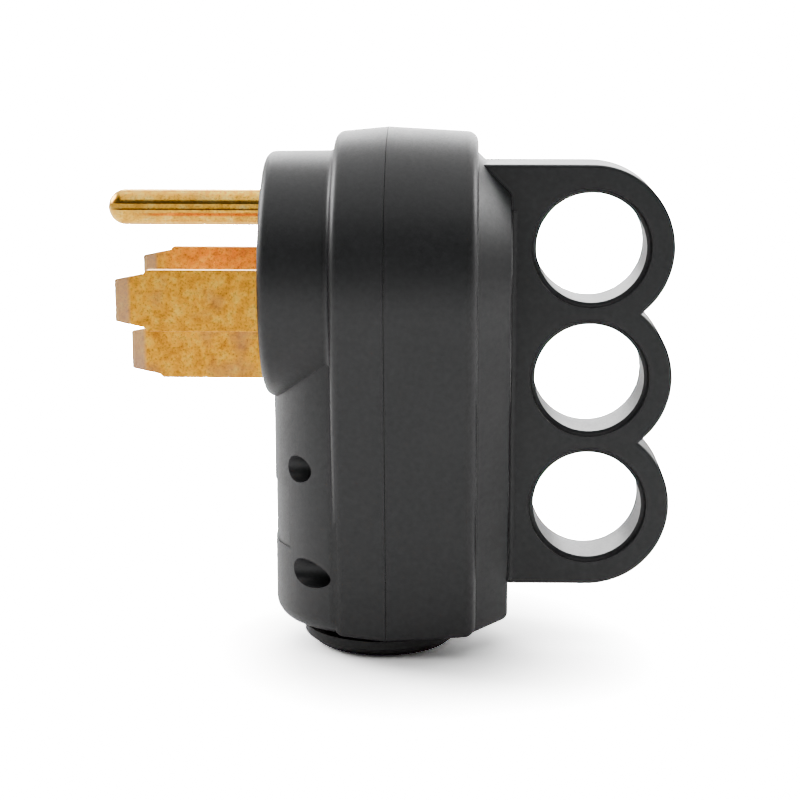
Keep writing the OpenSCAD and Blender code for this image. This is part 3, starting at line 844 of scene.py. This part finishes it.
LEAN_UP = math.atan(1.1 / 6.5)
HEEL_R = 1.5 * MM
HEEL_X = BACK_X + 0.08 * MM
HEEL_STEPS = 7
BACK_FOOT = BODY_FOOT + 0.9 * MM
TOOL_START = BLOCK_END - 5 * MM
TOOL_FOOT = BODY_FOOT - 9 * MM
TOOL_HALF = 30 * MM
turn = Vector((HEEL_X - HEEL_R, 0, 0))
turn.z = BACK_FOOT + (turn.x - BLOCK_END) * math.tan(LEAN_UP) + HEEL_R / math.cos(LEAN_UP)
profile = [Vector((TOOL_START, 0, BACK_FOOT + (TOOL_START - BLOCK_END) * math.tan(LEAN_UP)))]
for i in range(HEEL_STEPS + 1):
    angle = -math.pi / 2 + LEAN_UP + (math.pi / 2 - LEAN_UP) * i / HEEL_STEPS
    profile.append(turn + HEEL_R * Vector((math.cos(angle), 0, math.sin(angle))))
profile += [turn + Vector((HEEL_R, 0, 5 * MM)), turn + Vector((9 * MM, 0, 5 * MM))]
profile += [Vector((BACK_X + 8 * MM, 0, TOOL_FOOT)), Vector((TOOL_START, 0, TOOL_FOOT))]
near_side = [place - Vector((0, TOOL_HALF, 0)) for place in profile]
cut(back, push_out("foot_tool", near_side, (0, 2 * TOOL_HALF, 0)))
clean(back)
join(cover, back)
print("raised back joined,", len(cover.data.polygons), "faces")

# %% [markdown]
# The handle is a plate with three rings. Its outline runs round the rings as a chain of points.
# One half of the plate grows from it, and a mirror modifier adds the other half.

# %% The handle's plate
HANDLE_LOW = RING_TOP - 2 * RING_PITCH - RING_R
HANDLE_HIGH = RING_TOP + RING_R
HANDLE_START = BLOCK_END - 4 * MM
HANDLE_ROUND = 0.6 * MM
HANDLE_DRAFT = 0.03 * MM
RING_STEP = math.radians(3)
ring_heights = [RING_TOP - i * RING_PITCH for i in range(3)]

notch = math.asin(RING_PITCH / 2 / RING_R)
outline = [Vector((HANDLE_START, 0, HANDLE_LOW))]
for z, start, end in zip(ring_heights[::-1], (-math.pi / 2, -notch, -notch), (notch, notch, math.pi / 2)):
    steps = round((end - start) / RING_STEP)
    first = 1 if start == -notch else 0
    for i in range(first, steps + 1):
        angle = start + (end - start) * i / steps
        outline.append(Vector((RING_X + RING_R * math.cos(angle), 0, z + RING_R * math.sin(angle))))
outline.append(Vector((HANDLE_START, 0, HANDLE_HIGH)))
draw_chain(outline, True)
bpy.ops.mesh.edge_face_add()
handle = settle("handle_plate")
if handle.data.polygons[0].normal.y > 0:
    handle.data.flip_normals()
print("the handle's outline has", len(handle.data.vertices), "points")

take_up(handle)
bpy.ops.object.mode_set(mode="EDIT")
bpy.ops.mesh.select_mode(type="FACE")
bpy.ops.mesh.select_all(action="SELECT")
for inwards, forwards in [(HANDLE_DRAFT, HANDLE_T / 2 - HANDLE_ROUND)] + round_over(HANDLE_ROUND):
    bpy.ops.mesh.inset(thickness=inwards, depth=forwards, use_even_offset=True, use_boundary=True)
bpy.ops.object.mode_set(mode="OBJECT")
bpy.ops.object.modifier_add(type="MIRROR")
modifier = handle.modifiers[-1]
modifier.use_axis = (False, True, False)
modifier.merge_threshold = 5 * HAIR
bpy.ops.object.modifier_apply(modifier=modifier.name)
clean(handle)

# %% [markdown]
# The tool that cuts a finger hole is turned. It flares at both ends, so the cut leaves a rounded
# rim, and it is a touch narrower in its middle, where the two mould halves met.

# %% The finger holes
HOLE_ROUND = 1.0 * MM
HOLE_DRAFT = 0.07 * MM
half_section = [(FINGER_R - HOLE_DRAFT, 0), (FINGER_R, HANDLE_T / 2 - HOLE_ROUND)]
radius, height = half_section[-1]
for outwards, forwards in flare(HOLE_ROUND, 4)[::-1]:
    radius, height = radius + forwards, height + outwards
    half_section.append((radius, height))
half_section += [(radius, HANDLE_T), (0, HANDLE_T)]
section = [(r, -h) for r, h in half_section[:0:-1]] + half_section
for z in ring_heights:
    cut(handle, lathe("finger_tool", section, (RING_X, 0, z), (0, 1, 0), AROUND))
clean(handle)
print("the handle has", len(handle.data.polygons), "faces")
join(cover, handle)
clean(cover)
print("handle joined,", len(cover.data.polygons), "faces")

# %% [markdown]
# A small hollow softens the upright corner where the handle leaves the raised back.

# %% The hollow at the handle's root
ROOT = 1.3 * MM
ROOT_LIFT = 0.9 * MM
ROOT_RUN = 12.5 * MM - HANDLE_LOW
for side in (-1, 1):
    corner = Vector((BACK_X + ROOT, side * (HANDLE_T / 2 + ROOT), HANDLE_LOW + ROOT_LIFT))
    angles = [math.radians(degrees) for degrees in range(3, 91, 12)]
    root = [corner + ROOT * Vector((-math.sin(angle), -side * math.cos(angle), 0)) for angle in angles]
    root.append(corner + Vector((-ROOT - 0.6 * MM, -side * 0.3 * MM, 0)))
    root.append(corner + Vector((-ROOT - 0.6 * MM, -side * (ROOT + 0.4 * MM), 0)))
    root.append(corner + Vector((0, -side * (ROOT + 0.4 * MM), 0)))
    join(cover, push_out("root", root, (0, 0, ROOT_RUN)))
clean(cover)
print("root joined,", len(cover.data.polygons), "faces")

# %% [markdown]
# The cover is hollow too. Its lip slips into the front half's rebate, with a notch around each
# screw column.

# %% Rooms and lip of the cover
BACK_ROOM_IN = 11.9 * MM
LIP_SIDE = 1.7 * MM
LIP_BACK = 1.5 * MM
LIP_IN = SEAM_X - 1.8 * MM
NOTCH_AIR = 0.3 * MM
cover_room = body_face("cover_room", SEAM_X - PAST, BODY_R - WALL, BODY_FOOT + WALL, "+X", ROOM_CORNER)
grow(cover_room, [(0, BLOCK_END - WALL - SEAM_X + PAST)])
cut(cover, cover_room)
back_room = body_face(
    "back_room", BLOCK_END - WALL - PAST, BODY_R - BACK_ROOM_IN, BODY_FOOT + BACK_ROOM_IN, "+X", ROOM_CORNER
)
grow(back_room, [(0, BACK_X - BLOCK_END + PAST)])
cut(cover, back_room)
lip = body_face("lip", LIP_IN, BODY_R - LIP_SIDE, BODY_FOOT + LIP_SIDE, "+X", SEAM_CORNER)
grow(lip, [(0, SEAM_X + LIP_BACK - LIP_IN)])
lip_room = body_face("lip_room", LIP_IN - PAST, BODY_R - WALL, BODY_FOOT + WALL, "+X", ROOM_CORNER)
grow(lip_room, [(0, 5 * PAST)])
cut(lip, lip_room)
for y, z, head, thread, seat in SCREWS:
    notch_r = head * MM + HEAD_WALL + NOTCH_AIR
    cut(lip, x_rod("notch", notch_r, y, z, LIP_IN - PAST, SEAM_X + SEAM_GAP))
join(cover, lip)
print("lip joined,", len(cover.data.polygons), "faces")

# %% [markdown]
# A pillar stands behind each screw. It holds the threaded insert, with a narrower hole behind it
# for the screw's tip.

# %% Pillars of the cover
PILLAR_WALL = 1.2
PILLAR_START = SEAM_X + 0.12 * MM
PILLAR_END = 40 * MM
PILLAR_IN = 1.2 * MM
INSERT_WALL = 1.05
INSERT_LONG = 8.3 * MM
TIP_AIR = 0.3
TIP_END = 36.5 * MM
for y, z, head, thread, seat in SCREWS:
    pillar = x_rod("pillar", (head + PILLAR_WALL) * MM, y, z, PILLAR_START, PILLAR_END)
    slab = body_face("slab", 0, BODY_R - PILLAR_IN, BODY_FOOT + PILLAR_IN, "+X", ROOM_CORNER)
    combine(pillar, grow(slab, [(0, BACK_X)]), "INTERSECT")
    join(cover, pillar)
    cut(cover, x_rod("insert_hole", (thread + INSERT_WALL) * MM, y, z, SEAM_X - PAST, SEAM_X + INSERT_LONG))
    cut(cover, x_rod("tip_hole", (thread + TIP_AIR) * MM, y, z, SEAM_X, TIP_END, 24))
open_foot(cover)
clean(cover)
finish_piece(cover, "cover", "housing", HOUSING, "rear_cover", "pull_handle")

# %% [markdown]
# ## Cord gland
#
# The gland is a rubber ring around the cord, so it is spun around the cord's line. Its inner
# flange has two flats that keep it clear of the leaning sides of the room.

# %% The gland
GLAND_SECTION = [
    (11.0, -74.9), (13.5, -74.9), (13.8, -74.8), (15.8, -73.2), (16.0, -72.9), (16.0, -71.3),
    (12.8, -71.3), (12.8, -67.7), (14.8, -67.7), (14.8, -65.2), (11.0, -65.2),
]
FLAT_LOW = BODY_FOOT + 3.2 * MM
FLAT_HIGH = BODY_FOOT + 7 * MM
FLAT_DEEP = 6 * MM
FLAT_IN = 4.3 * MM
FLAT_AT = BODY_FOOT + 4 * MM
gland = lathe("cord_gland_ring", [(r * MM, h * MM) for r, h in GLAND_SECTION], (CORD_X, 0, 0), (0, 0, 1))
flat_y = (BODY_R - FLAT_IN) / math.cos(LEAN) + FLAT_AT * math.tan(LEAN)
for side in (-1, 1):
    flat = bar("flat", (0, 0, FLAT_LOW), (BACK_X, FLAT_DEEP, FLAT_HIGH))
    flat.location = (0, side * flat_y, 0)
    flat.scale = (1, side, 1)
    take_up(flat)
    cut(gland, clean(settle("flat")))
clean(gland)
finish_piece(gland, "front", "gland_rubber", RUBBER, "cord_gland")

# %% [markdown]
# ## Contacts
#
# The blades are stamped from brass strip. Their tips are narrower, and the last few millimetres
# are coined thinner so that they find the socket. One end face of a bar is extruded and scaled
# step by step, and the shoulders, the tail and the terminal pad are welded on behind.

# %% Helpers for the contacts
TIP = 5.5 * MM
TIP_STEP = 0.8 * MM
TIP_SHOULDER = 0.75 * MM
TIP_TAPER = 1.1 * MM
TIP_END_IN = 1.85 * MM
COINED = 2.6 * MM
COINED_THIN = 0.5
SHOULDER_X = (4.1 * MM, 6.9 * MM)
TAIL_START = 6.5 * MM
TAIL_HALF = 5.5 * MM
PAD_X = (16 * MM, 18 * MM)
PAD_LONG = 12 * MM
TERMINAL_R = 2.46 * MM


def terminal_hole(piece, y, z):
    """Drill a terminal screw's hole through a contact's pad."""
    cut(piece, x_rod("pad_hole", TERMINAL_R, y, z, PAD_X[0] - PAST, PAD_X[1] + PAST, 32))


def blade(name, y, z, width, length, shoulder_low, shoulder_high, pad_low, pad_high, pad_z):
    """A blade: its centre, its size, how far its shoulders stand out and where its pad is."""
    half = width / 2
    low_y, high_y = y - BLADE_T / 2, y + BLADE_T / 2
    shank_start = -length + TIP + TIP_STEP
    piece = bar(name, (shank_start, low_y, z - half), (SHOULDER_X[0], high_y, z + half))
    pick(piece, "FACE", lambda middle, face: near(middle.x, shank_start))
    tip_half = half - TIP_SHOULDER
    coined_half = tip_half - TIP_TAPER * (TIP - COINED) / TIP
    end_half = half - TIP_END_IN
    stages = [(TIP_STEP, tip_half / half, 1), (TIP - COINED, coined_half / tip_half, 1),
              (COINED, end_half / coined_half, COINED_THIN)]
    x = shank_start
    for run, tall, thick in stages:
        bpy.ops.mesh.extrude_region_move(TRANSFORM_OT_translate={"value": (-run, 0, 0)})
        x -= run
        bpy.ops.transform.resize(value=(1, thick, tall), center_override=(x, y, z))
    clean(piece)
    start, end = SHOULDER_X
    join(piece, bar("shoulder", (start, low_y, z - shoulder_low), (end, high_y, z + shoulder_high)))
    start, end = PAD_X
    join(piece, bar("tail", (TAIL_START, low_y, z - TAIL_HALF), (end, high_y, z + TAIL_HALF)))
    join(piece, bar("pad", (start, pad_low, pad_z - TAIL_HALF), (end, pad_high, pad_z + TAIL_HALF)))
    terminal_hole(piece, (pad_low + pad_high) / 2, pad_z)
    return clean(piece)


def soften(piece, width, angle=30):
    """Break the sharp edges a little, as stamping and handling do."""
    take_up(piece)
    bpy.ops.object.modifier_add(type="BEVEL")
    modifier = piece.modifiers[-1]
    modifier.width = width
    modifier.segments = 2
    modifier.limit_method = "ANGLE"
    modifier.angle_limit = math.radians(angle)
    bpy.ops.object.modifier_apply(modifier=modifier.name)

# %% [markdown]
# The two hot blades are mirror images with their pads turned inwards. The neutral blade stands
# lower in the middle. A punch has left a small ring on its near face.

# %% Blades
HOT_Y = hot_high.y - BLADE_T / 2
HOT_Z = (hot_low.z + hot_high.z) / 2
HOT_WIDTH = 11.8 * MM
HOT_SHOULDER = 8 * MM
NEUTRAL_Z = -15.4 * MM
NEUTRAL_WIDTH = 11.2 * MM
NEUTRAL_SHOULDERS = (5.8 * MM, 7.7 * MM)
NEUTRAL_PAD_Z = -17.5 * MM
BLADE_BREAK = 0.18 * MM
MARK = Vector((-11.6 * MM, -BLADE_T / 2, -15.5 * MM))
MARK_DEPTH = Vector((0, 0.1 * MM, 0))
MARK_OUTER, MARK_INNER = 1.1 * MM, 0.9 * MM

for side, word in ((-1, "near"), (1, "far")):
    pad = sorted([side * (HOT_Y + BLADE_T / 2), side * (HOT_Y + BLADE_T / 2 - PAD_LONG)])
    hot = blade(f"hot_blade_{word}_strip", side * HOT_Y, HOT_Z, HOT_WIDTH, -hot_low.x,
                HOT_SHOULDER, HOT_SHOULDER, *pad, HOT_Z)
    soften(hot, BLADE_BREAK)
    finish_piece(hot, "front", "blade_brass", BLADE_BRASS, f"hot_blade_{word}")
neutral = blade("neutral_blade_strip", 0, NEUTRAL_Z, NEUTRAL_WIDTH, -neutral_low.x,
                *NEUTRAL_SHOULDERS, -BLADE_T / 2, PAD_LONG - BLADE_T / 2, NEUTRAL_PAD_Z)
soften(neutral, BLADE_BREAK)
ring = rod("mark", MARK_OUTER, MARK - 4 * MARK_DEPTH, MARK + MARK_DEPTH, 32)
cut(ring, rod("mark_core", MARK_INNER, MARK - 6 * MARK_DEPTH, MARK + 2 * MARK_DEPTH, 32))
cut(neutral, ring)
clean(neutral)
finish_piece(neutral, "front", "blade_brass", BLADE_BRASS, "neutral_blade")

# %% [markdown]
# The ground pin is strip folded into a round tube with a domed tip. The fold leaves a narrow
# dark groove along the near side, from the tip to the face.

# %% Ground pin
PIN_BASE = 4.5 * MM
PIN_BREAK = 0.15 * MM
PIN_FLANGE_R = 7.5 * MM
PIN_TAIL = [Vector((5.1, -3.5, 8)) * MM, Vector((18, 3.5, 10)) * MM]
PIN_PAD = [Vector((16, -6, 8)) * MM, Vector((18, 6, 20)) * MM]
PIN_PAD_Z = 14 * MM
GROOVE_END = -1 * MM
GROOVE_DEEP = 1.3 * MM
GROOVE_LOW, GROOVE_HIGH = PIN_Z - 0.25 * MM, PIN_Z + 0.9 * MM
pin_length = -pin_low.x
pin = disc("ground_pin_tube", (PIN_BASE, 0, PIN_Z), PIN_R, "-X", 64)
dome = round_over(PIN_R, 12)[:-1]
grow(pin, [(0, PIN_BASE + pin_length - PIN_R)] + dome)
groove_low = (-pin_length - PAST, -PIN_R - PAST, GROOVE_LOW)
groove_high = (GROOVE_END, -PIN_R + GROOVE_DEEP, GROOVE_HIGH)
cut(pin, bar("groove", groove_low, groove_high))
join(pin, x_rod("pin_flange", PIN_FLANGE_R, 0, PIN_Z, *SHOULDER_X))
join(pin, bar("pin_tail", *PIN_TAIL))
join(pin, bar("pin_pad", *PIN_PAD))
terminal_hole(pin, 0, PIN_PAD_Z)
clean(pin)
soften(pin, PIN_BREAK, 40)
finish_piece(pin, "front", "pin_brass", PIN_BRASS, "ground_pin")

# %% [markdown]
# ## Inside pieces
#
# The pieces inside are simple turned and stamped parts, and their shapes in the frame are already
# right. They only need their finishes: brass, plated, dyed and plain steel, and two plastics.

# %% Finishes for the inside pieces
SCRATCH_TONE = 0.72


def brushed_metal(name, colour, roughness):
    """Plated or turned metal with fine scratches."""
    material, tree, shader, place = start_finish(name, colour, roughness, 1.0)
    darker = tuple(SCRATCH_TONE * channel for channel in colour)
    cloud = noise(tree, place, 400, 5, 0.6)
    tree.links.new(ramp(tree, cloud, [(0.35, darker), (0.62, colour)]), shader.inputs["Base Color"])
    scratch = noise(tree, place, 3000, 2)
    tree.links.new(spread(tree, scratch, roughness - 0.08, roughness + 0.12), shader.inputs["Roughness"])
    bump(tree, shader, scratch, GRAIN, 0.3)
    return material


FINISHES = {
    "retainer_plastic": moulded_plastic("retainer_finish", (0.50, 0.44, 0.33), (0.60, 0.54, 0.42), 0.55),
    "saddle_plastic": moulded_plastic("saddle_finish", (0.11, 0.12, 0.13), (0.15, 0.16, 0.17), 0.5),
    "clamp_brass": brushed_metal("clamp_finish", (0.72, 0.50, 0.22), 0.35),
    "brass_screw": brushed_metal("brass_screw_finish", (0.80, 0.60, 0.28), 0.28),
    "plated_screw": brushed_metal("plated_screw_finish", (0.74, 0.75, 0.76), 0.22),
    "green_screw": brushed_metal("green_screw_finish", (0.08, 0.38, 0.15), 0.35),
    "strap_steel": brushed_metal("strap_finish", (0.56, 0.57, 0.59), 0.38),
    "insert_brass": brushed_metal("insert_finish", (0.75, 0.56, 0.26), 0.35),
    "washer_steel": brushed_metal("washer_finish", (0.42, 0.43, 0.44), 0.4),
    "steel_screw": brushed_metal("steel_screw_finish", (0.54, 0.55, 0.57), 0.32),
}
slots = {row["node"]: row["material_slot"] for row in frame["record"]["subparts"]}
for node, shape in frame["nodes"].items():
    if slots[node] in FINISHES:
        shape.data.materials.clear()
        shape.data.materials.append(FINISHES[slots[node]])
print("inside pieces finished:", sum(slots[n] in FINISHES for n in slots))
